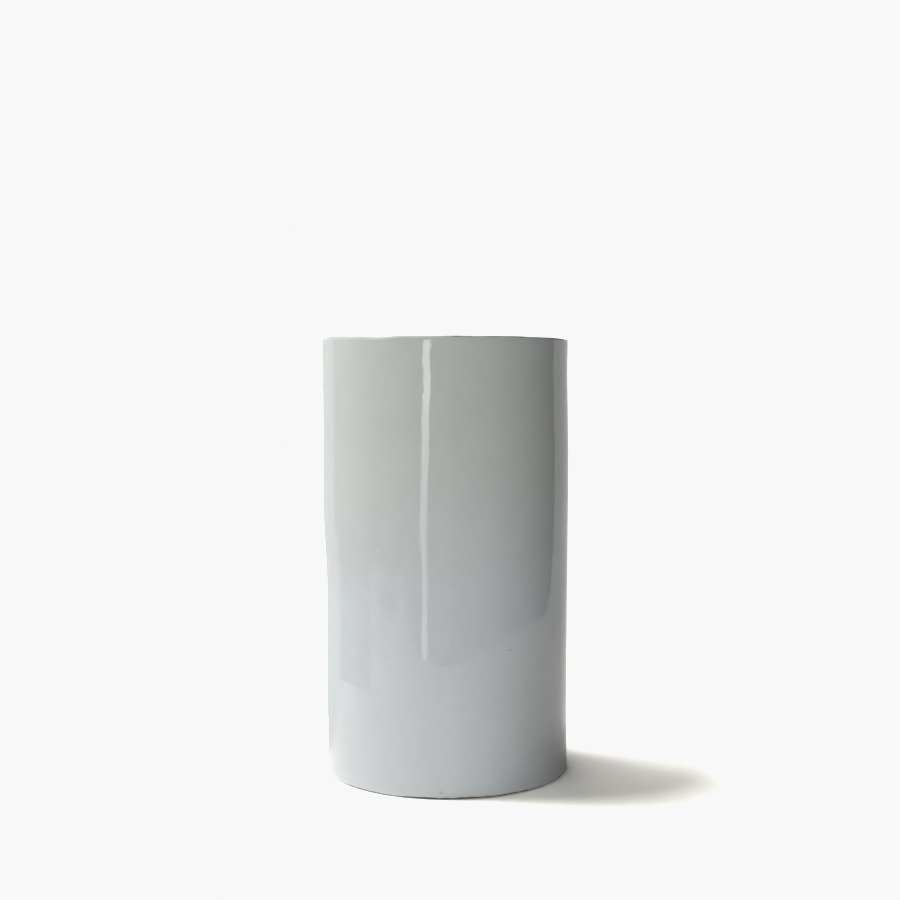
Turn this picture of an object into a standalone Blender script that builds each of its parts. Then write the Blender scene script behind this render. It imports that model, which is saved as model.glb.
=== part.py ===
"""A hand-built cylinder vase in glazed stoneware, as the pieces that make it up.

A clay wall stands on a clay base, and a coil of clay is pressed into the corner inside, where the two
meet. One coat of glaze covers the outside and folds over the rim, and a liner coat makes the inside hold
water. The edge that the vase stands on is bare clay.

The origin is the middle of the foot, on the surface that the vase stands on, and +Z is up. Every piece is
turned about Z, from a profile of (radius, height) points. Sizes are in metres.
"""

import math

import bpy

# The whole vase, measured on the glaze
HEIGHT = 0.300
LOWER_RADIUS = 0.0838
UPPER_RADIUS = 0.0854
SWELL_START = 0.38 * HEIGHT  # the wall widens from the lower radius to the upper one between these heights
SWELL_END = 0.66 * HEIGHT

# The layers, from the outside in
GLAZE = 0.0007
WALL = 0.0054
GAP = 0.0003  # between pieces that touch
SKIN = GLAZE + GAP  # from the face of a coat to the clay below it

# The rim and the foot
RIM_ROUND = 0.0017  # radius of the clay rim's two edges
FOLD_DEPTH = 0.008  # how far the outer coat reaches down inside the mouth
GLAZE_LINE = 0.0015  # the outer coat ends this far above the surface, and bare clay shows below it
FOOT_CHAMFER = 0.001

# The base and the corner coil
BASE = 0.0075
RECESS_DEPTH = 0.0015  # the underside is scraped hollow, which leaves a ring to stand on
RECESS_RADIUS = 0.0645
RECESS_SLOPE = 0.0015
COIL_ROUND = 0.008  # radius of the coil's hollow face
COIL_EDGE = 0.0005  # how thick the coil's smeared edges are
COIL_RAMP = 0.003  # the liner leaves the coil's edge over this length

# How finely the curves are cut
SEGMENTS = 72
ARC_STEPS = 4
SWELL_STEPS = 6
SHARP_ANGLE = math.radians(40)

GLAZE_COLOUR = (0.58, 0.60, 0.59, 1)
CLAY_COLOUR = (0.50, 0.47, 0.43, 1)


def clear_scene():
    for obj in list(bpy.data.objects):
        bpy.data.objects.remove(obj)


def make_material(name, colour, roughness):
    material = bpy.data.materials.new(name)
    material.use_nodes = True
    shader = material.node_tree.nodes["Principled BSDF"]
    shader.inputs["Base Color"].default_value = colour
    shader.inputs["Roughness"].default_value = roughness
    shader.inputs["Metallic"].default_value = 0
    return material


def clay_radius(height):
    """The outside of the clay wall at this height."""
    share = (height - SWELL_START) / (SWELL_END - SWELL_START)
    share = min(max(share, 0), 1)
    rise = share * share * (3 - 2 * share)
    return LOWER_RADIUS + (UPPER_RADIUS - LOWER_RADIUS) * rise - SKIN


def up_the_wall(inset, bottom, top):
    """Points from bottom to top on a face that lies this far inside the clay wall's outer face."""
    step = (SWELL_END - SWELL_START) / SWELL_STEPS
    bends = [SWELL_START + step * i for i in range(SWELL_STEPS + 1)]
    heights = [bottom] + [z for z in bends if bottom < z < top] + [top]
    return [(clay_radius(z) - inset, z) for z in heights]


def arc(centre, radius, start, end):
    """Points on a circle from angle start to angle end, in degrees, both ends included."""
    angles = [math.radians(start + (end - start) * i / ARC_STEPS) for i in range(ARC_STEPS + 1)]
    return [(centre[0] + radius * math.cos(a), centre[1] + radius * math.sin(a)) for a in angles]


def beside(path, distance):
    """The path moved to its left by this distance, with its corners kept sharp."""
    directions = []
    for (x0, z0), (x1, z1) in zip(path, path[1:]):
        length = math.hypot(x1 - x0, z1 - z0)
        directions.append(((x1 - x0) / length, (z1 - z0) / length))
    moved = []
    for i, (x, z) in enumerate(path):
        before = directions[max(i - 1, 0)]
        after = directions[min(i, len(directions) - 1)]
        along_x = before[0] + after[0]
        along_z = before[1] + after[1]
        # the sum's length is twice the cosine of half the turn, so this division makes the mitre
        scale = 2 * distance / (along_x**2 + along_z**2)
        moved.append((x - along_z * scale, z + along_x * scale))
    return moved


def turned(name, profile, closed, material, collection):
    """A solid from a profile turned about Z. The profile runs down the solid's outer side. A closed one
    makes a ring, and an open one begins and ends on the axis."""
    mesh = bpy.data.meshes.new(name)
    edges = [(i, i + 1) for i in range(len(profile) - 1)]
    if closed:
        edges.append((len(profile) - 1, 0))
    mesh.from_pydata([(radius, 0, height) for radius, height in profile], edges, [])
    obj = bpy.data.objects.new(name, mesh)
    collection.objects.link(obj)

    screw = obj.modifiers.new("turn", "SCREW")
    screw.steps = SEGMENTS
    screw.render_steps = SEGMENTS
    screw.use_merge_vertices = True
    screw.merge_threshold = 0.00001

    solid = bpy.data.meshes.new_from_object(obj.evaluated_get(bpy.context.evaluated_depsgraph_get()))
    solid.name = name
    solid.shade_smooth()
    solid.set_sharp_from_angle(angle=SHARP_ANGLE)
    obj.modifiers.clear()
    obj.data = solid
    obj.data.materials.append(material)
    bpy.data.meshes.remove(mesh)
    return obj


def clay_wall_profile():
    """The wall from the base to just under the glaze on the rim, with both edges of the rim rounded."""
    top = HEIGHT - SKIN
    shoulder = top - RIM_ROUND
    outside = up_the_wall(0, BASE + GAP, shoulder)
    inside = up_the_wall(WALL, BASE + GAP, shoulder)
    outer_round = arc((clay_radius(top) - RIM_ROUND, shoulder), RIM_ROUND, 90, 0)
    inner_round = arc((clay_radius(top) - WALL + RIM_ROUND, shoulder), RIM_ROUND, 180, 90)
    return outer_round[:-1] + outside[::-1] + inside + inner_round[1:]


def clay_base_profile():
    """A flat slab as wide as the wall, chamfered where it meets the surface and hollowed underneath."""
    edge = clay_radius(0)
    return [
        (0, BASE),
        (edge, BASE),
        (edge, FOOT_CHAMFER),
        (edge - FOOT_CHAMFER, 0),
        (RECESS_RADIUS + RECESS_SLOPE, 0),
        (RECESS_RADIUS, RECESS_DEPTH),
        (0, RECESS_DEPTH),
    ]


def coil_face():
    """The coil's hollow face, from its edge on the floor to its edge on the wall."""
    reach = GAP + COIL_EDGE + COIL_ROUND
    centre = (clay_radius(0) - WALL - reach, BASE + reach)
    return arc(centre, COIL_ROUND, -90, 0)


def corner_coil_profile():
    face = coil_face()
    wall_side = clay_radius(0) - WALL - GAP
    floor_side = BASE + GAP
    return [(wall_side, face[-1][1]), (wall_side, floor_side), (face[0][0], floor_side)] + face


def outer_glaze_profile():
    """A coat on the clay from inside the mouth, over the rim and down to the glaze line."""
    top = HEIGHT - SKIN
    shoulder = top - RIM_ROUND
    inner_round = arc((clay_radius(top) - WALL + RIM_ROUND, shoulder), RIM_ROUND, 180, 90)
    outer_round = arc((clay_radius(top) - RIM_ROUND, shoulder), RIM_ROUND, 90, 0)
    down = up_the_wall(0, GLAZE_LINE, shoulder)[::-1]
    clay = [(clay_radius(top) - WALL, top - FOLD_DEPTH)] + inner_round + outer_round + down[1:]
    return beside(clay, SKIN) + beside(clay, GAP)[::-1]


def liner_glaze_profile():
    """A coat on the floor, over the coil and up the wall to the outer coat's fold."""
    face = coil_face()
    ramp_end = face[-1][1] + COIL_RAMP
    wall = up_the_wall(WALL, ramp_end, HEIGHT - SKIN - FOLD_DEPTH - GAP)
    clay = [(0, BASE), (face[0][0] - COIL_RAMP, BASE)] + face + wall
    return beside(clay, SKIN) + beside(clay, GAP)[::-1]


def build():
    clear_scene()
    vase = bpy.data.collections.new("cylinder_vase")
    bpy.context.scene.collection.children.link(vase)
    glaze = make_material("glaze", GLAZE_COLOUR, 0.15)
    clay = make_material("bare_clay", CLAY_COLOUR, 0.85)

    turned("clay_wall", clay_wall_profile(), True, clay, vase)
    turned("clay_base", clay_base_profile(), False, clay, vase)
    turned("corner_coil", corner_coil_profile(), True, clay, vase)
    turned("outer_glaze", outer_glaze_profile(), True, glaze, vase)
    turned("liner_glaze", liner_glaze_profile(), False, glaze, vase)


build()
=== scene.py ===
"""A hand-built stoneware cylinder vase with a pale grey glaze, on a white table in a studio.

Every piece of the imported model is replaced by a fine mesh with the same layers, bent by one shared function,
so that the wall wanders from round the way a hand-built one does. The vase's front is at -Y.
"""

import math

import bpy
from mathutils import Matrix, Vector, noise


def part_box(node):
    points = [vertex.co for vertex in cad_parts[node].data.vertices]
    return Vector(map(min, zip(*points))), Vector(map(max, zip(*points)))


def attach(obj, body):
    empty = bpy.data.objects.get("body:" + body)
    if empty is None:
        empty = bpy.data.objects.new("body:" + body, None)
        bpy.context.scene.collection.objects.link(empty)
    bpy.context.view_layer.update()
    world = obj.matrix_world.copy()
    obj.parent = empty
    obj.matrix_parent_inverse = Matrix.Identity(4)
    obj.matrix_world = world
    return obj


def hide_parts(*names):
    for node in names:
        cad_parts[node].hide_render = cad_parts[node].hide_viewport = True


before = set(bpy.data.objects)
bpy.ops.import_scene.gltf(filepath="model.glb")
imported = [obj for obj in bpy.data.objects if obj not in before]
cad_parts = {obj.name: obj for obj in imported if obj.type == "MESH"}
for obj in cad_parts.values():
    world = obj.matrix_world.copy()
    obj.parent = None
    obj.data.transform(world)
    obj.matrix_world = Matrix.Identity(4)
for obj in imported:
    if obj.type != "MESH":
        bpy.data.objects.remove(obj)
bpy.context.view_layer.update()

MM = 0.001

# The layers, as in the CAD: a coat, the gap below it, the clay, a gap and the liner coat
COAT = 0.7 * MM
GAP = 0.3 * MM
SKIN = 1.0 * MM  # a coat and its gap
WALL = 5.4 * MM
INSIDE = SKIN + WALL + SKIN  # from the outer coat's face to the liner's face

# The vase's size comes from the frame
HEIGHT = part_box("outer_glaze")[1].z
UPPER_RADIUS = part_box("outer_glaze")[1].x
LOWER_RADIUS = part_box("clay_base")[1].x + SKIN
BASE_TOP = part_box("clay_base")[1].z
FLOOR_TOP = BASE_TOP + SKIN


def smooth(low, high, value):
    """0 up to low, 1 from high on, and a soft step between them."""
    share = min(max((value - low) / (high - low), 0), 1)
    return share * share * (3 - 2 * share)


def hump(value, centre, width):
    """1 at the centre, falling softly to 0 on both sides."""
    return math.exp(-(((value - centre) / width) ** 2))


def ripple(point, size, seed):
    """A smooth random number from about -1 to 1 that changes over this size."""
    return 1.6 * noise.noise(point / size + Vector((seed, 2.7 * seed, 1.3 * seed)))


# Shape


def centre_shift(height):
    """Where the wall's middle has wandered to at this height, in X and Y: to the left, in three steps."""
    h = height / HEIGHT
    x = -0.25 * smooth(0.05, 0.15, h) - 0.75 * smooth(0.44, 0.6, h) - 0.55 * smooth(0.74, 0.95, h)
    y = 0.35 * smooth(0.25, 0.7, h) - 0.5 * smooth(0.6, 1.0, h)
    return x * MM, y * MM


def face_radius(angle, height, fine=True):
    """The radius of the outer coat's face: it swells above the middle, and bulges and narrows a little.
    The fine ripples are only on faces that show."""
    h = height / HEIGHT
    radius = LOWER_RADIUS + (UPPER_RADIUS - LOWER_RADIUS) * smooth(0.38, 0.66, h)
    radius += (0.25 * hump(h, 0.6, 0.12) - 0.2 * hump(h, 0.92, 0.08)) * MM
    radius += (0.3 * hump(h, 0.22, 0.13) - 0.1 * smooth(0.5, 0.62, h)) * MM
    point = Vector((UPPER_RADIUS * math.cos(angle), UPPER_RADIUS * math.sin(angle), height))
    settle = smooth(0, 0.08, h)  # the wall keeps the round of its base at the foot
    radius += 0.16 * MM * settle * ripple(point, 75 * MM, 3)
    radius += 0.05 * MM * settle * ripple(point, 28 * MM, 5)
    if fine:
        radius += 0.007 * MM * ripple(point, 9 * MM, 7)
    return radius


# Where the rim rises and dips at the front: degrees from the front, rise in mm, width in degrees
RIM_WAVES = [(-62, 0.85, 20), (-31, -0.65, 7), (11, -0.3, 9)]


def rim_lift(angle, height):
    """The rim isn't quite level."""
    weight = smooth(0.9, 1.0, height / HEIGHT)
    around = Vector((math.cos(angle), math.sin(angle), 0))
    wave = 0.28 * ripple(around, 0.9, 11) + 0.16 * ripple(around, 0.25, 13)
    degrees = math.degrees(math.atan2(around.x, -around.y))
    for centre, rise, width in RIM_WAVES:
        wave += rise * hump(degrees, centre, width)
    return weight * wave * MM


def place(angle, inset, height, fine=True):
    """The point this far inside the outer coat's face."""
    radius = face_radius(angle, height, fine) - inset
    x, y = centre_shift(height)
    return (
        x + radius * math.cos(angle),
        y + radius * math.sin(angle),
        height + rim_lift(angle, height),
    )


def place_on_base(angle, radius, height):
    return (radius * math.cos(angle), radius * math.sin(angle), height)


def ring_piece(name, columns, column_points, node, material, capped=False, thin_and_shade=None):
    """A piece made of columns of points round the axis. column_points(angle) gives one column, and every
    column has the same number of points. A ring's last row joins its first. A capped piece's first and last
    points lie on the axis. The last argument, a function of angle and row, says from 0 to 1 how far the glaze
    is darkened at a point, for thinned glaze and for painted shade."""
    angles = [2 * math.pi * i / columns for i in range(columns)]
    points = [column_points(angle) for angle in angles]
    ends = []
    if capped:
        ends = [points[0][0], points[0][-1]]
        points = [column[1:-1] for column in points]
    rows = len(points[0])
    vertices = [point for column in points for point in column] + ends
    faces = []
    for i in range(columns):
        here = i * rows
        there = (i + 1) % columns * rows
        for j in range(rows - 1):
            faces.append((here + j, here + j + 1, there + j + 1, there + j))
        if capped:
            faces.append((here, there, rows * columns))
            faces.append((here + rows - 1, rows * columns + 1, there + rows - 1))
        else:
            faces.append((here + rows - 1, here, there, there + rows - 1))
    mesh = bpy.data.meshes.new(name)
    mesh.from_pydata(vertices, [], faces)
    if thin_and_shade:
        values = mesh.attributes.new("thin_and_shade", "FLOAT", "POINT")
        values.data.foreach_set("value", [thin_and_shade(angle, row) for angle in angles for row in range(rows)])
    mesh.shade_smooth()
    mesh.set_sharp_from_angle(angle=math.radians(60))
    piece = bpy.data.objects.new(name, mesh)
    bpy.context.scene.collection.objects.link(piece)
    mesh.materials.append(material)
    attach(piece, "root")
    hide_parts(node)
    return piece


def spaced(start, end, count):
    return [start + (end - start) * i / count for i in range(count + 1)]


def glaze_line(angle):
    """The height at which the outer coat ends."""
    around = Vector((math.cos(angle), math.sin(angle), 0))
    height = 1.1 + 0.45 * ripple(around, 0.35, 17) + 0.3 * ripple(around, 0.07, 19)
    height *= 0.6 + 0.4 * smooth(-0.5, -0.2, around.x)
    return max(height, 0.4) * MM


def fold_line(angle):
    """The height at which the outer coat ends inside the mouth, over the liner."""
    around = Vector((math.cos(angle), math.sin(angle), 0))
    drip = 1.6 * ripple(around, 0.4, 23) + 0.8 * ripple(around, 0.12, 29)
    return HEIGHT - (12.5 + drip) * MM


def rim_round(angle):
    """The radius of the rim's outer edge: softest on the left."""
    left = ((1 - math.cos(angle)) / 2) ** 3
    return (1.4 + 0.4 * left) * MM


QUARTER = math.pi / 2
HIDDEN_HEIGHTS = spaced(6 * MM, HEIGHT - 5 * MM, 44)  # the rows of a wall's hidden faces

# The outer coat's shape
INNER_ROUND = 2.4 * MM  # radius of the rim's inner edge
FOLD_ROLL = 0.42 * MM  # the fold ends in a roll
FOLD_PROUD = 0.35 * MM  # and stands a little proud of the liner
FOOT_ROLL = 0.22 * MM  # the coat thickens by this much just above the glaze line
FOOT_ROLL_HEIGHT = 1.4 * MM  # from this height above the line down
TIP_HEIGHT = 0.4 * MM  # the roll's lower edge is rounded over this height
TIP_DEPTH = 0.5 * MM  # and this depth

# Its hidden side under the rim and the fold: how far in from the face, and how far below the rim
HIDDEN_RIM = [
    (2.6 * MM, 0.9 * MM),
    (INSIDE - 2.6 * MM, 0.9 * MM),
    (INSIDE - COAT, 3.5 * MM),
    (INSIDE - COAT, 9.0 * MM),
    (INSIDE + 0.05 * MM, 9.05 * MM),
]

# Its rows, in order
ROLL_ROWS = 4
FOLD_ROWS = 9  # the roll's rows and the fold's
EDGE_ROWS = 6
TOP_ROWS = 3
OUTER_ROWS = 10
FACE_ROWS = 182
FOOT_ROWS = 4


def outer_coat_column(angle):
    """From inside the mouth over the rim and down the outside, then back up against the clay. Each point is
    listed as how far it lies in from the face, and its height."""
    outer_round = rim_round(angle)
    line = glaze_line(angle)
    fold = fold_line(angle)
    lip = INSIDE + FOLD_PROUD  # where the fold's roll ends, inside the mouth
    shoulder = HEIGHT - outer_round
    inside_shoulder = HEIGHT - INNER_ROUND

    face = []
    for a in spaced(0, QUARTER, ROLL_ROWS - 1):
        face.append((lip - FOLD_ROLL * (1 - math.sin(a)), fold - FOLD_ROLL * math.cos(a)))
    for t in spaced(0, 1, FOLD_ROWS - ROLL_ROWS)[1:]:
        face.append((lip + (INSIDE - lip) * t, fold + (inside_shoulder - fold) * t))
    for a in spaced(0, QUARTER, EDGE_ROWS)[1:]:
        inset = INSIDE - INNER_ROUND * (1 - math.cos(a))
        face.append((inset, inside_shoulder + INNER_ROUND * math.sin(a)))
    for inset in spaced(INSIDE - INNER_ROUND, outer_round, TOP_ROWS)[1:-1]:
        face.append((inset, HEIGHT))
    for a in spaced(0, QUARTER, OUTER_ROWS):
        face.append((outer_round * (1 - math.sin(a)), shoulder + outer_round * math.cos(a)))
    roll_top = line + FOOT_ROLL_HEIGHT
    for height in spaced(shoulder, roll_top, FACE_ROWS)[1:]:
        face.append((0, height))
    for t in spaced(0, 1, FOOT_ROWS)[1:]:
        height = roll_top + (line + TIP_HEIGHT - roll_top) * t
        face.append((-FOOT_ROLL * math.sin(t * QUARTER), height))
    for a in spaced(0, QUARTER, FOOT_ROWS)[1:]:
        inset = TIP_DEPTH * (1 - math.cos(a)) - FOOT_ROLL
        face.append((inset, line + TIP_HEIGHT * (1 - math.sin(a))))

    hidden = [(COAT, height) for height in [line] + HIDDEN_HEIGHTS]
    hidden += [(inset, HEIGHT - below) for inset, below in HIDDEN_RIM]
    hidden.append((HIDDEN_RIM[-1][0], fold))
    column = [place(angle, inset, height) for inset, height in face]
    return column + [place(angle, inset, height, False) for inset, height in hidden]


def rim_thinning_and_shade(angle, row):
    """The glaze has thinned over the rim's inner edge all round. The outer edge is darkened only on its right,
    away from the light: that is painted shade, partly thinned glaze.
    """
    inner_edge = FOLD_ROWS + 0.5 * EDGE_ROWS
    outer_edge = FOLD_ROWS + EDGE_ROWS + TOP_ROWS - 1
    strength = 0.5 * smooth(-0.25, 0.1, math.cos(angle))
    outer = smooth(outer_edge - 3, outer_edge, row)
    outer *= smooth(outer_edge + OUTER_ROWS + 1, outer_edge + 6, row)
    return max(strength * outer, 0.6 * hump(row, inner_edge, 2.5))


CLAY_RIM_IN = 1.7 * MM  # the clay's rim slopes in over this width
CLAY_RIM_BELOW = 1.25 * MM  # and lies this far below the coat's


def clay_wall_column(angle):
    """Up the wall's outer face, over its rim and down its inner face. Other layers hide all of it."""
    rim = HEIGHT - CLAY_RIM_BELOW
    bottom = BASE_TOP + GAP
    points = [(SKIN, height) for height in HIDDEN_HEIGHTS[1:]]
    points += [(SKIN + CLAY_RIM_IN, rim), (SKIN + WALL - CLAY_RIM_IN, rim)]
    points += [(SKIN + WALL, height) for height in HIDDEN_HEIGHTS[:0:-1]]
    points += [(SKIN + WALL, bottom), (SKIN, bottom)]
    return [place(angle, inset, height, False) for inset, height in points[::-1]]


# The floor, and the corner where the liner runs over the coil
COIL_ROUND = 8.0 * MM
CORNER = LOWER_RADIUS - INSIDE - COIL_ROUND  # the flat floor's radius
LINER_TOP = HEIGHT - 9.4 * MM  # under the outer coat's fold
FLOOR_ROWS = 36
COIL_ROWS = 8
LINER_ROWS = 110


def liner_column(angle):
    """From the middle of the floor up the wall's inside face, and back down against the clay."""
    around = Vector((math.cos(angle), math.sin(angle), 0))
    column = []
    for radius in spaced(0, CORNER, FLOOR_ROWS):
        wave = 0.12 * ripple(around * radius, 16 * MM, 31) + 0.05 * math.sin(radius / (2.1 * MM))
        wave *= MM * smooth(0, 12 * MM, radius)
        column.append(place_on_base(angle, radius, FLOOR_TOP + wave))
    for a in spaced(0, QUARTER, COIL_ROWS)[1:]:
        radius = CORNER + COIL_ROUND * math.sin(a)
        height = FLOOR_TOP + COIL_ROUND * (1 - math.cos(a))
        column.append(place(angle, LOWER_RADIUS - radius, height))
    start = FLOOR_TOP + COIL_ROUND
    for height in spaced(start, LINER_TOP, LINER_ROWS)[1:]:
        column.append(place(angle, INSIDE, height))

    column.append(place(angle, INSIDE - COAT, LINER_TOP, False))
    for height in HIDDEN_HEIGHTS[-3:2:-1]:
        if start < height < LINER_TOP:
            column.append(place(angle, INSIDE - COAT, height, False))
    for a in spaced(QUARTER, 0, COIL_ROWS):
        column.append(below_coil_face(angle, a, COAT))
    column.append(place_on_base(angle, 0, FLOOR_TOP - COAT))
    return column


def below_coil_face(angle, turn, depth):
    """The point this deep below the liner's hollow corner, which turns from the floor up to the wall."""
    radius = CORNER + (COIL_ROUND + depth) * math.sin(turn)
    height = FLOOR_TOP + COIL_ROUND * (1 - math.cos(turn)) - depth * math.cos(turn)
    return place(angle, LOWER_RADIUS - radius, height, False)


def coil_column(angle):
    """Up the coil's hollow face, then down the wall and back along the base."""
    wall = SKIN + WALL + GAP
    bottom = BASE_TOP + GAP
    column = [below_coil_face(angle, a, SKIN) for a in spaced(0, QUARTER, COIL_ROWS)]
    column.append(place(angle, wall, FLOOR_TOP + COIL_ROUND, False))
    column.append(place(angle, wall, bottom, False))
    column.append(place(angle, LOWER_RADIUS - CORNER, bottom, False))
    return column[::-1]


# The base's underside, and the bare edge below the glaze line
RECESS_RADIUS = 64.5 * MM
RECESS_DEPTH = 1.5 * MM
RING_RADIUS = 65.9 * MM  # the foot ring begins here
BARE_PROUD = 0.2 * MM  # the bare edge stands out by this much
BARE_TOP = 5 * MM  # and is hidden above this height


def base_column(angle):
    """From the middle of the underside out over the foot ring, up the bare edge and back to the middle."""
    around = Vector((math.cos(angle), math.sin(angle), 0))
    edge = LOWER_RADIUS - SKIN
    chamfer = (0.6 + 0.35 * ripple(around, 0.16, 37) + 0.2 * ripple(around, 0.05, 41)) * MM
    chamfer = min(max(chamfer, 0.2 * MM), 1.2 * MM)
    points = []
    for radius in spaced(0, RECESS_RADIUS, 26):
        scrape = 0.1 * ripple(around * radius, 9 * MM, 43) + 0.12 * math.sin(radius / (1.6 * MM))
        points.append((radius, RECESS_DEPTH + scrape * MM * smooth(0, 10 * MM, radius)))
    points.append((65.1 * MM, 0.35 * MM))  # the recess's edge is worn
    for radius in spaced(RING_RADIUS, edge - chamfer, 6):
        points.append((radius, 0))
    points.append((edge - 0.35 * chamfer, 0.35 * chamfer))
    points.append((edge + BARE_PROUD, chamfer + 0.15 * MM))
    for height in spaced(1.8 * MM, BARE_TOP, 5):
        points.append((edge + BARE_PROUD * smooth(3.2 * MM, 2.2 * MM, height), height))
    points += [(edge, BASE_TOP), (0, BASE_TOP)]
    return [place_on_base(angle, radius, height) for radius, height in points]


# Materials


def feed(tree, socket, value):
    """Links the value to the socket, or sets it there if it isn't a socket itself."""
    if isinstance(value, bpy.types.NodeSocket):
        tree.links.new(value, socket)
    else:
        socket.default_value = value


def add(tree, kind, settings=None, **inputs):
    """A node. Each input is a value, or a socket to link from. i0 is the first input, i1 the second, and so
    on, and any other name is the input's own."""
    node = tree.nodes.new(kind)
    for key, value in (settings or {}).items():
        setattr(node, key, value)
    for key, value in inputs.items():
        counted = key[0] == "i" and key[1:].isdigit()
        feed(tree, node.inputs[int(key[1:]) if counted else key], value)
    return node


def new_material(name):
    material = bpy.data.materials.new(name)
    material.use_nodes = True
    tree = material.node_tree
    coords = tree.nodes.new("ShaderNodeTexCoord").outputs["Object"]
    return material, tree, tree.nodes["Principled BSDF"], coords


def math_node(tree, operation, a, b):
    return add(tree, "ShaderNodeMath", {"operation": operation}, i0=a, i1=b).outputs[0]


def vector_node(tree, operation, a, b=(0, 0, 0)):
    """The outputs of a vector operation."""
    return add(tree, "ShaderNodeVectorMath", {"operation": operation}, i0=a, i1=b).outputs


def ramp(tree, value, low, high, to_low=0.0, to_high=1.0):
    """A soft step, from to_low where the value is low to to_high where it is high."""
    settings = {"interpolation_type": "SMOOTHSTEP"}
    node = add(tree, "ShaderNodeMapRange", settings, i0=value, i1=low, i2=high, i3=to_low, i4=to_high)
    return node.outputs[0]


def mix(tree, factor, a, b, blend="MIX"):
    """A mix of two colours."""
    node = add(tree, "ShaderNodeMix", {"data_type": "RGBA", "blend_type": blend}, i0=factor, i6=a, i7=b)
    return node.outputs[2]


def noise_node(tree, coords, scale, detail=2.0, roughness=0.5):
    node = add(tree, "ShaderNodeTexNoise", Vector=coords, Scale=scale, Detail=detail, Roughness=roughness)
    return node.outputs["Fac"]


def on_wall(degrees, height):
    """A point on the wall's face. 0 degrees is the front, and positive is to the right."""
    return place(math.radians(degrees - 90), 0, height)


def spot(tree, coords, degrees, height, radius, tall):
    """1 at this place on the wall, falling to 0 at this radius. A tall spot is stretched upwards."""
    from_centre = vector_node(tree, "SUBTRACT", coords, on_wall(degrees, height))[0]
    stretched = vector_node(tree, "MULTIPLY", from_centre, (1, 1, 1 / tall))[0]
    away = vector_node(tree, "LENGTH", stretched)["Value"]
    return ramp(tree, away, radius, 0.4 * radius)


def grey(tree, value):
    return add(tree, "ShaderNodeCombineColor", i0=value, i1=value, i2=value).outputs[0]


# The lower glaze is a little lighter than the upper: painted light, as from the table below. The change of
# tint is the glaze's own
GLAZE_UPPER = (0.560, 0.592, 0.568, 1)
GLAZE_LOWER = (0.595, 0.627, 0.641, 1)
# The dark of thinned glaze at the rim's edges, also used as painted shade along the right of the outer edge
GLAZE_THIN_AND_SHADE = (0.135, 0.130, 0.120, 1)
SPECK_DARK = (0.23, 0.21, 0.24, 1)
SPECK_LIGHT = (0.80, 0.82, 0.81, 1)
CLAY_PALE = (0.52, 0.50, 0.46, 1)
CLAY_WARM = (0.44, 0.41, 0.37, 1)
CLAY_GRIT = (0.12, 0.09, 0.07, 1)
# The dark of the clay's outer edge: partly toasted clay, partly painted contact shade
CLAY_TOASTED_AND_SHADED = (0.13, 0.115, 0.10, 1)

# Single marks in the glaze: degrees from the front, height, radius, stretch upwards, strength
DARK_MARKS = [
    (29.2, 96 * MM, 2.3 * MM, 0.45, 0.3),
    (-2.6, 4.8 * MM, 0.8 * MM, 1.8, 0.5),
    (152.0, 211 * MM, 1.2 * MM, 0.8, 0.5),
    (-140.0, 74 * MM, 1.4 * MM, 0.7, 0.4),
]
LIGHT_MARKS = [
    (-31.8, 160 * MM, 1.1 * MM, 1.5, 0.35),
    (9.0, 276 * MM, 0.9 * MM, 1.0, 0.3),
    (12.5, 279 * MM, 0.8 * MM, 1.4, 0.3),
    (104.0, 180 * MM, 1.2 * MM, 1.3, 0.4),
]


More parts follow.
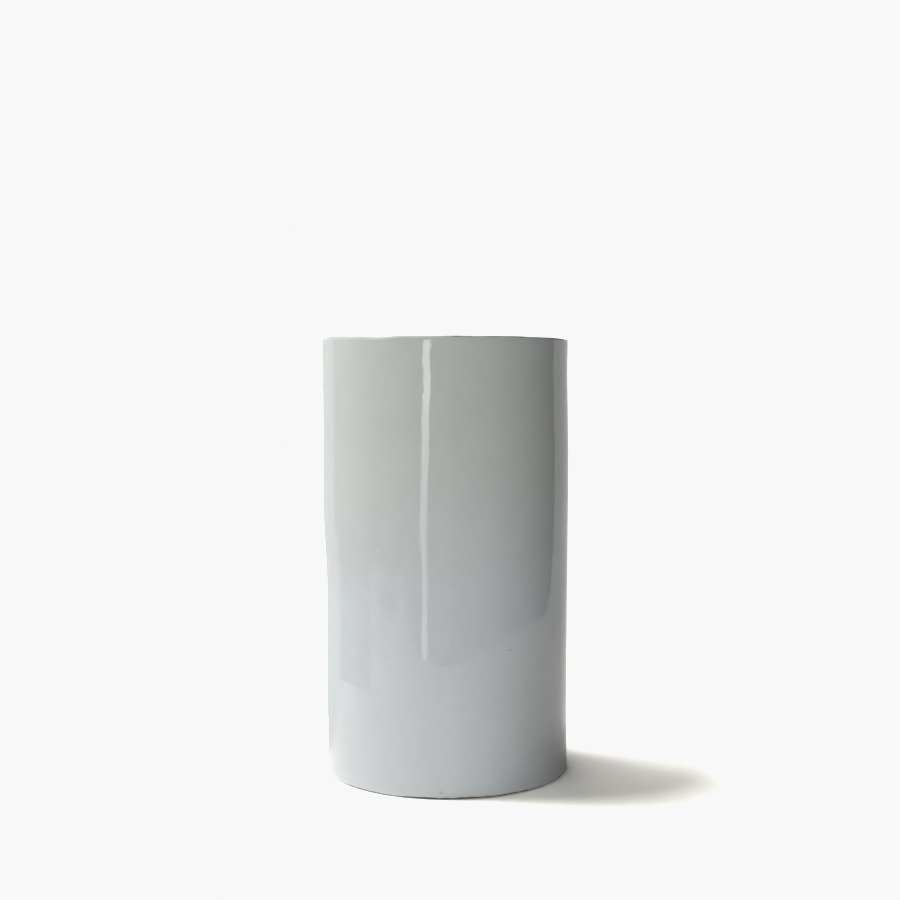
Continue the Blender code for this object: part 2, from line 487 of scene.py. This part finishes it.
def glaze_material(name, outside):
    """A smooth grey glaze, a little greener high up and bluer low down, with faint mottling and specks. It is
    also a little lighter low down, which is painted light, as from the table below.
    """
    material, tree, shader, coords = new_material(name)
    height = add(tree, "ShaderNodeSeparateXYZ", i0=coords).outputs["Z"]
    cloud = noise_node(tree, coords, 11, 3)
    mottle = noise_node(tree, coords, 70, 4, 0.6)
    grain = noise_node(tree, coords, 700, 3, 0.7)

    where = math_node(tree, "ADD", height, math_node(tree, "MULTIPLY", cloud, 0.05))
    # From the upper colour to the lower: the tint is the glaze's own, and the lightening low down is painted
    # light
    colour = mix(tree, ramp(tree, where, 0.27, 0.13), GLAZE_UPPER, GLAZE_LOWER)
    shade = ramp(tree, mottle, 0.3, 0.7, 0.985, 1.01)
    shade = math_node(tree, "ADD", shade, ramp(tree, grain, 0.3, 0.7, -0.012, 0.012))
    colour = mix(tree, 1.0, colour, grey(tree, shade), "MULTIPLY")
    specks = add(tree, "ShaderNodeTexVoronoi", Vector=coords, Scale=85).outputs
    few = ramp(tree, add(tree, "ShaderNodeSeparateColor", i0=specks["Color"]).outputs[0], 0.86, 0.9)
    fleck = math_node(tree, "MULTIPLY", ramp(tree, specks["Distance"], 0.07, 0.03), few)
    colour = mix(tree, math_node(tree, "MULTIPLY", fleck, 0.22), colour, SPECK_DARK)

    upright = vector_node(tree, "MULTIPLY", coords, (1, 1, 0.35))[0]  # the relief runs down the wall
    relief = math_node(tree, "MULTIPLY", noise_node(tree, upright, 650, 1), 0.8)
    relief = math_node(tree, "ADD", relief, noise_node(tree, upright, 95, 1))
    relief = math_node(tree, "SUBTRACT", relief, math_node(tree, "MULTIPLY", fleck, 0.3))
    if outside:
        for marks, tint in ((DARK_MARKS, SPECK_DARK), (LIGHT_MARKS, SPECK_LIGHT)):
            for degrees, at, radius, tall, strength in marks:
                mark = math_node(tree, "MULTIPLY", spot(tree, coords, degrees, at, radius, tall), strength)
                colour = mix(tree, mark, colour, tint)
        # Darkens the rim's inner edge for thinned glaze, and the right of its outer edge with painted shade
        thin_and_shade = add(tree, "ShaderNodeAttribute", {"attribute_name": "thin_and_shade"}).outputs["Fac"]
        ragged = math_node(tree, "ADD", thin_and_shade, ramp(tree, mottle, 0.3, 0.7, -0.25, 0.1))
        colour = mix(tree, ramp(tree, ragged, 0.1, 0.9), colour, GLAZE_THIN_AND_SHADE)
    feed(tree, shader.inputs["Base Color"], colour)
    feed(tree, shader.inputs["Roughness"], ramp(tree, mottle, 0.3, 0.7, 0.011, 0.018))
    shader.inputs["IOR"].default_value = 1.5
    bump = add(tree, "ShaderNodeBump", Strength=0.12, Distance=0.1 * MM, Height=relief)
    feed(tree, shader.inputs["Normal"], bump.outputs[0])
    return material


def clay_material(name):
    """Bare fired clay with fine grit. It is darker along the outer edge, next to the glaze and where the foot
    meets the table: partly toasted by the fire, partly painted contact shade.
    """
    material, tree, shader, coords = new_material(name)
    patch = noise_node(tree, coords, 40, 4, 0.6)
    grit = noise_node(tree, coords, 900, 3, 0.7)
    colour = mix(tree, ramp(tree, patch, 0.35, 0.7), CLAY_PALE, CLAY_WARM)
    cells = add(tree, "ShaderNodeTexVoronoi", Vector=coords, Scale=420).outputs["Distance"]
    colour = mix(tree, ramp(tree, cells, 0.16, 0.08), colour, CLAY_GRIT)
    # The dark ring along the outer edge is partly painted contact shade and partly toasted clay
    flat = vector_node(tree, "MULTIPLY", coords, (1, 1, 0))[0]
    from_axis = vector_node(tree, "LENGTH", flat)["Value"]
    from_axis = math_node(tree, "ADD", from_axis, math_node(tree, "MULTIPLY", patch, 1.5 * MM))
    edge = LOWER_RADIUS - SKIN
    colour = mix(tree, ramp(tree, from_axis, edge - 1.5 * MM, edge + 0.5 * MM), colour, CLAY_TOASTED_AND_SHADED)
    feed(tree, shader.inputs["Base Color"], colour)
    feed(tree, shader.inputs["Roughness"], ramp(tree, grit, 0.3, 0.7, 0.75, 0.95))
    bump = add(tree, "ShaderNodeBump", Strength=0.6, Distance=0.25 * MM, Height=grit)
    feed(tree, shader.inputs["Normal"], bump.outputs[0])
    return material


def build_vase():
    outer = glaze_material("outer_glaze_look", True)
    liner = glaze_material("liner_glaze_look", False)
    clay = clay_material("bare_clay_look")
    # The outer coat's rim carries painted shade on its right, together with thinned glaze
    ring_piece("outer_coat", 360, outer_coat_column, "outer_glaze", outer, thin_and_shade=rim_thinning_and_shade)
    ring_piece("liner_coat", 240, liner_column, "liner_glaze", liner, capped=True)
    ring_piece("wall_slab", 120, clay_wall_column, "clay_wall", clay)
    ring_piece("base_disc", 360, base_column, "clay_base", clay, capped=True)
    ring_piece("luting_coil", 120, coil_column, "corner_coil", clay)


# Studio


# The table's outline, which is seen only in the glaze: a front edge, rounded corners, and sides that spread
# towards the back
TABLE = [(-1.5, 2.2), (-1.0, 0.3), (-0.81, -0.22), (-0.75, -0.36), (-0.64, -0.47), (-0.59, -0.55)]
TABLE += [(-0.52, -0.64), (-0.2, -0.59), (0.03, -0.56), (0.3, -0.55), (0.5, -0.47), (0.67, -0.34)]
TABLE += [(0.76, -0.13), (0.78, 0.05), (0.78, 0.2), (0.8, 0.3), (1.1, 0.5), (1.25, 0.9), (1.5, 2.2)]

# Its paper as the camera sees it, as it lights the vase, and as the glaze mirrors it
PAPER_SEEN = (2.3, 2.25, 2.12, 1)
PAPER_BOUNCED = (0.457, 0.448, 0.424, 1)
PAPER_MIRRORED = (1.0, 0.975, 0.91, 1)

# Shadows end inside the first distance, and past the second the paper is even
PAPER_FADE = (0.4, 0.8)
WHITE_SEEN = 1.3  # brighter than the picture's white, so that it clips
ROOM_RADIUS = 2.6


def stage_material(name):
    """A material for the studio, with nothing in it but the output."""
    material = bpy.data.materials.new(name)
    material.use_nodes = True
    tree = material.node_tree
    tree.nodes.clear()
    return material, tree, tree.nodes.new("ShaderNodeOutputMaterial").inputs["Surface"]


def mix_shaders(tree, factor, a, b):
    return add(tree, "ShaderNodeMixShader", i0=factor, i1=a.outputs[0], i2=b.outputs[0])


def make_table():
    """White paper on a table. The light that it bounces onto the vase is dimmer than what the camera sees
    of it, as in a picture whose whites were pushed up."""
    mesh = bpy.data.meshes.new("table")
    mesh.from_pydata([(x, y, 0) for x, y in TABLE], [], [tuple(range(len(TABLE)))])
    table = bpy.data.objects.new("table", mesh)
    bpy.context.scene.collection.objects.link(table)
    material, tree, surface = stage_material("table_paper")
    coords = tree.nodes.new("ShaderNodeTexCoord").outputs["Object"]
    distant = ramp(tree, vector_node(tree, "LENGTH", coords)["Value"], *PAPER_FADE)
    paper = add(tree, "ShaderNodeBsdfDiffuse", Color=PAPER_SEEN)
    white = add(tree, "ShaderNodeEmission", Strength=WHITE_SEEN)
    seen = mix_shaders(tree, distant, paper, white)
    bounced = add(tree, "ShaderNodeBsdfDiffuse", Color=PAPER_BOUNCED)

    # What the glaze mirrors of it is even at a distance, and at the back on the left
    toward = vector_node(tree, "NORMALIZE", coords)[0]
    side = vector_node(tree, "DOT_PRODUCT", toward, (1, -1.5, 0))["Value"]
    near = add(tree, "ShaderNodeBsdfDiffuse", Color=PAPER_MIRRORED)
    far = add(tree, "ShaderNodeEmission", Color=(1, 1, 1, 1), Strength=0.72)
    even = math_node(tree, "MAXIMUM", distant, ramp(tree, side, -1.2, -1.6))
    mirrored = mix_shaders(tree, even, near, far)

    path = tree.nodes.new("ShaderNodeLightPath").outputs
    unseen = mix_shaders(tree, path["Is Glossy Ray"], bounced, mirrored)
    both = mix_shaders(tree, path["Is Camera Ray"], unseen, seen)
    tree.links.new(both.outputs[0], surface)
    mesh.materials.append(material)


def glow_card(name, corners, faces, strength):
    """A glowing card that the camera doesn't see, and the node that makes it glow."""
    mesh = bpy.data.meshes.new(name)
    mesh.from_pydata(corners, [], faces)
    card = bpy.data.objects.new(name, mesh)
    bpy.context.scene.collection.objects.link(card)
    material, tree, surface = stage_material(name)
    glow = add(tree, "ShaderNodeEmission", Color=(1, 1, 1, 1), Strength=strength)
    tree.links.new(glow.outputs[0], surface)
    mesh.materials.append(material)
    card.visible_camera = False
    return card, glow


def wall_card(name, azimuths, heights, strength, radius=ROOM_RADIUS):
    """A curved card round the table. Azimuth 0 is in front of the vase, and positive is to its right."""
    corners = []
    faces = []
    steps = 6
    for i, azimuth in enumerate(spaced(math.radians(azimuths[0]), math.radians(azimuths[1]), steps)):
        x, y = radius * math.sin(azimuth), -radius * math.cos(azimuth)
        corners += [(x, y, heights[0]), (x, y, heights[1])]
        if i < steps:
            faces.append((2 * i, 2 * i + 2, 2 * i + 3, 2 * i + 1))
    card, _ = glow_card(name, corners, faces, strength)
    return card


ROOM_GLOW = 0.045


def make_world():
    """The camera sees white behind the table, and the room is dark for everything else."""
    world = bpy.data.worlds.new("studio")
    bpy.context.scene.world = world
    world.use_nodes = True
    tree = world.node_tree
    tree.nodes.clear()
    seen = add(tree, "ShaderNodeBackground", Color=(1, 1, 1, 1), Strength=WHITE_SEEN)
    room = add(tree, "ShaderNodeBackground", Color=(1, 1, 1, 1), Strength=ROOM_GLOW)
    path = tree.nodes.new("ShaderNodeLightPath").outputs["Is Camera Ray"]
    both = mix_shaders(tree, path, room, seen)
    output = tree.nodes.new("ShaderNodeOutputWorld")
    tree.links.new(both.outputs[0], output.inputs["Surface"])


KEY_PLACE = (-0.412, -0.036, 1.542)
KEY_AIM = (0, 0, 0.1)


def make_key():
    """The high light from the left that throws the shadow."""
    data = bpy.data.lights.new("key", "AREA")
    data.shape = "DISK"
    data.size = 0.24
    data.energy = 9.1
    lamp = bpy.data.objects.new("key", data)
    lamp.location = KEY_PLACE
    lamp.rotation_euler = (Vector(KEY_AIM) - lamp.location).to_track_quat("-Z", "Y").to_euler()
    lamp.visible_glossy = False
    bpy.context.scene.collection.objects.link(lamp)


STRIP_DISTANCE = 1.5
STRIP_BOTTOM = -0.35
STRIP_TOP = 0.36
STRIP_ROWS = 600


def make_strip():
    """A tall bright gap in the window's blind, in front and to the left. Its sides are frayed, and it leans
    and fades downwards. The sides' places are azimuths in degrees."""
    corners = []
    for z in spaced(STRIP_BOTTOM, STRIP_TOP, STRIP_ROWS):
        lean = smooth(STRIP_TOP, 0.16, z)
        left = -18.5 - 3.5 * lean - 1.2 * hump(z, -0.02, 0.08)
        right = -11.9 - 4.4 * lean + 1.5 * hump(z, 0.17, 0.04) - 1.0 * hump(z, -0.03, 0.06)
        right -= 1.0 * smooth(-0.05, -0.14, z)
        for side, azimuth in enumerate((left, right)):
            at = Vector((0, 5 * side, z))
            frayed = 1.1 * ripple(at, 0.0045, 47) + 1.2 * ripple(at, 0.008, 53)
            a = math.radians(azimuth + frayed)
            corners.append((STRIP_DISTANCE * math.sin(a), -STRIP_DISTANCE * math.cos(a), z))
    faces = [(2 * i, 2 * i + 1, 2 * i + 3, 2 * i + 2) for i in range(STRIP_ROWS)]
    card, glow = glow_card("strip", corners, faces, 1.0)
    card.visible_shadow = False
    tree = glow.id_data
    coords = tree.nodes.new("ShaderNodeTexCoord").outputs["Object"]
    height = add(tree, "ShaderNodeSeparateXYZ", i0=coords).outputs["Z"]
    feed(tree, glow.inputs["Strength"], ramp(tree, height, 0.0, STRIP_TOP, 2.7, 6.0))


SCREEN_RADIUS = 0.38


def make_side_screen():
    """A low dark screen on the left of the table, seen only in the glaze."""
    screen = wall_card("side_screen", (-110, -68.5), (0.0, 0.2), 0.205, SCREEN_RADIUS)
    screen.visible_diffuse = False
    screen.visible_shadow = False


# Cards round the table: name, azimuths, heights, strength, and whether the glaze mirrors them
CARDS = [
    ("backdrop_left", (-180, -125.5), (-0.9, 1.0), 0.72, True),
    ("backdrop_right", (119, 180), (-0.9, 1.0), 0.69, True),
    ("side_left", (-125.5, -80), (-0.9, 0.9), 0.185, True),
    ("side_right", (30, 80), (-0.9, 0.9), 0.13, True),
    ("window_behind", (-180, -150), (0.9, 1.6), 5.0, False),
    ("window_back_left", (-150, -120), (0.9, 1.6), 8.8, False),
    ("window_high_left", (-135, -90), (1.6, 3.2), 10.4, False),
    ("front_left", (-60, -30), (0.0, 0.6), 5.1, False),
    ("front", (-30, 0), (0.0, 0.6), 8.0, False),
    ("front_right", (0, 30), (0.0, 0.6), 1.5, False),
]


def make_lights():
    make_world()
    make_key()
    make_strip()
    make_side_screen()
    for name, azimuths, heights, strength, mirrored in CARDS:
        wall_card(name, azimuths, heights, strength).visible_glossy = mirrored


CAMERA_PLACE = Vector((0.0058, -3.264, 0.886)) * HEIGHT
CAMERA_TILT = 2.496  # degrees below level


def make_camera():
    data = bpy.data.cameras.new("camera")
    data.lens = 56.0
    data.sensor_width = 36.0
    camera = bpy.data.objects.new("camera", data)
    camera.location = CAMERA_PLACE
    camera.rotation_euler = (math.radians(90 - CAMERA_TILT), 0, 0)
    bpy.context.scene.collection.objects.link(camera)
    bpy.context.scene.camera = camera


WHITE = 0.9387  # the picture's white


def set_look():
    """Plain colour, with the whites held a little under the brightest the picture can show."""
    settings = bpy.context.scene.view_settings
    settings.view_transform = "Standard"
    settings.use_curve_mapping = True
    mapping = settings.curve_mapping
    curve = mapping.curves[3]  # the one for all three colours
    curve.points[0].location = (0, 0)
    curve.points[1].location = (1, WHITE)
    curve.points.new(WHITE, WHITE)
    for point in curve.points:
        point.handle_type = "VECTOR"
    mapping.extend = "HORIZONTAL"
    mapping.update()


build_vase()
make_table()
make_lights()
make_camera()
set_look()
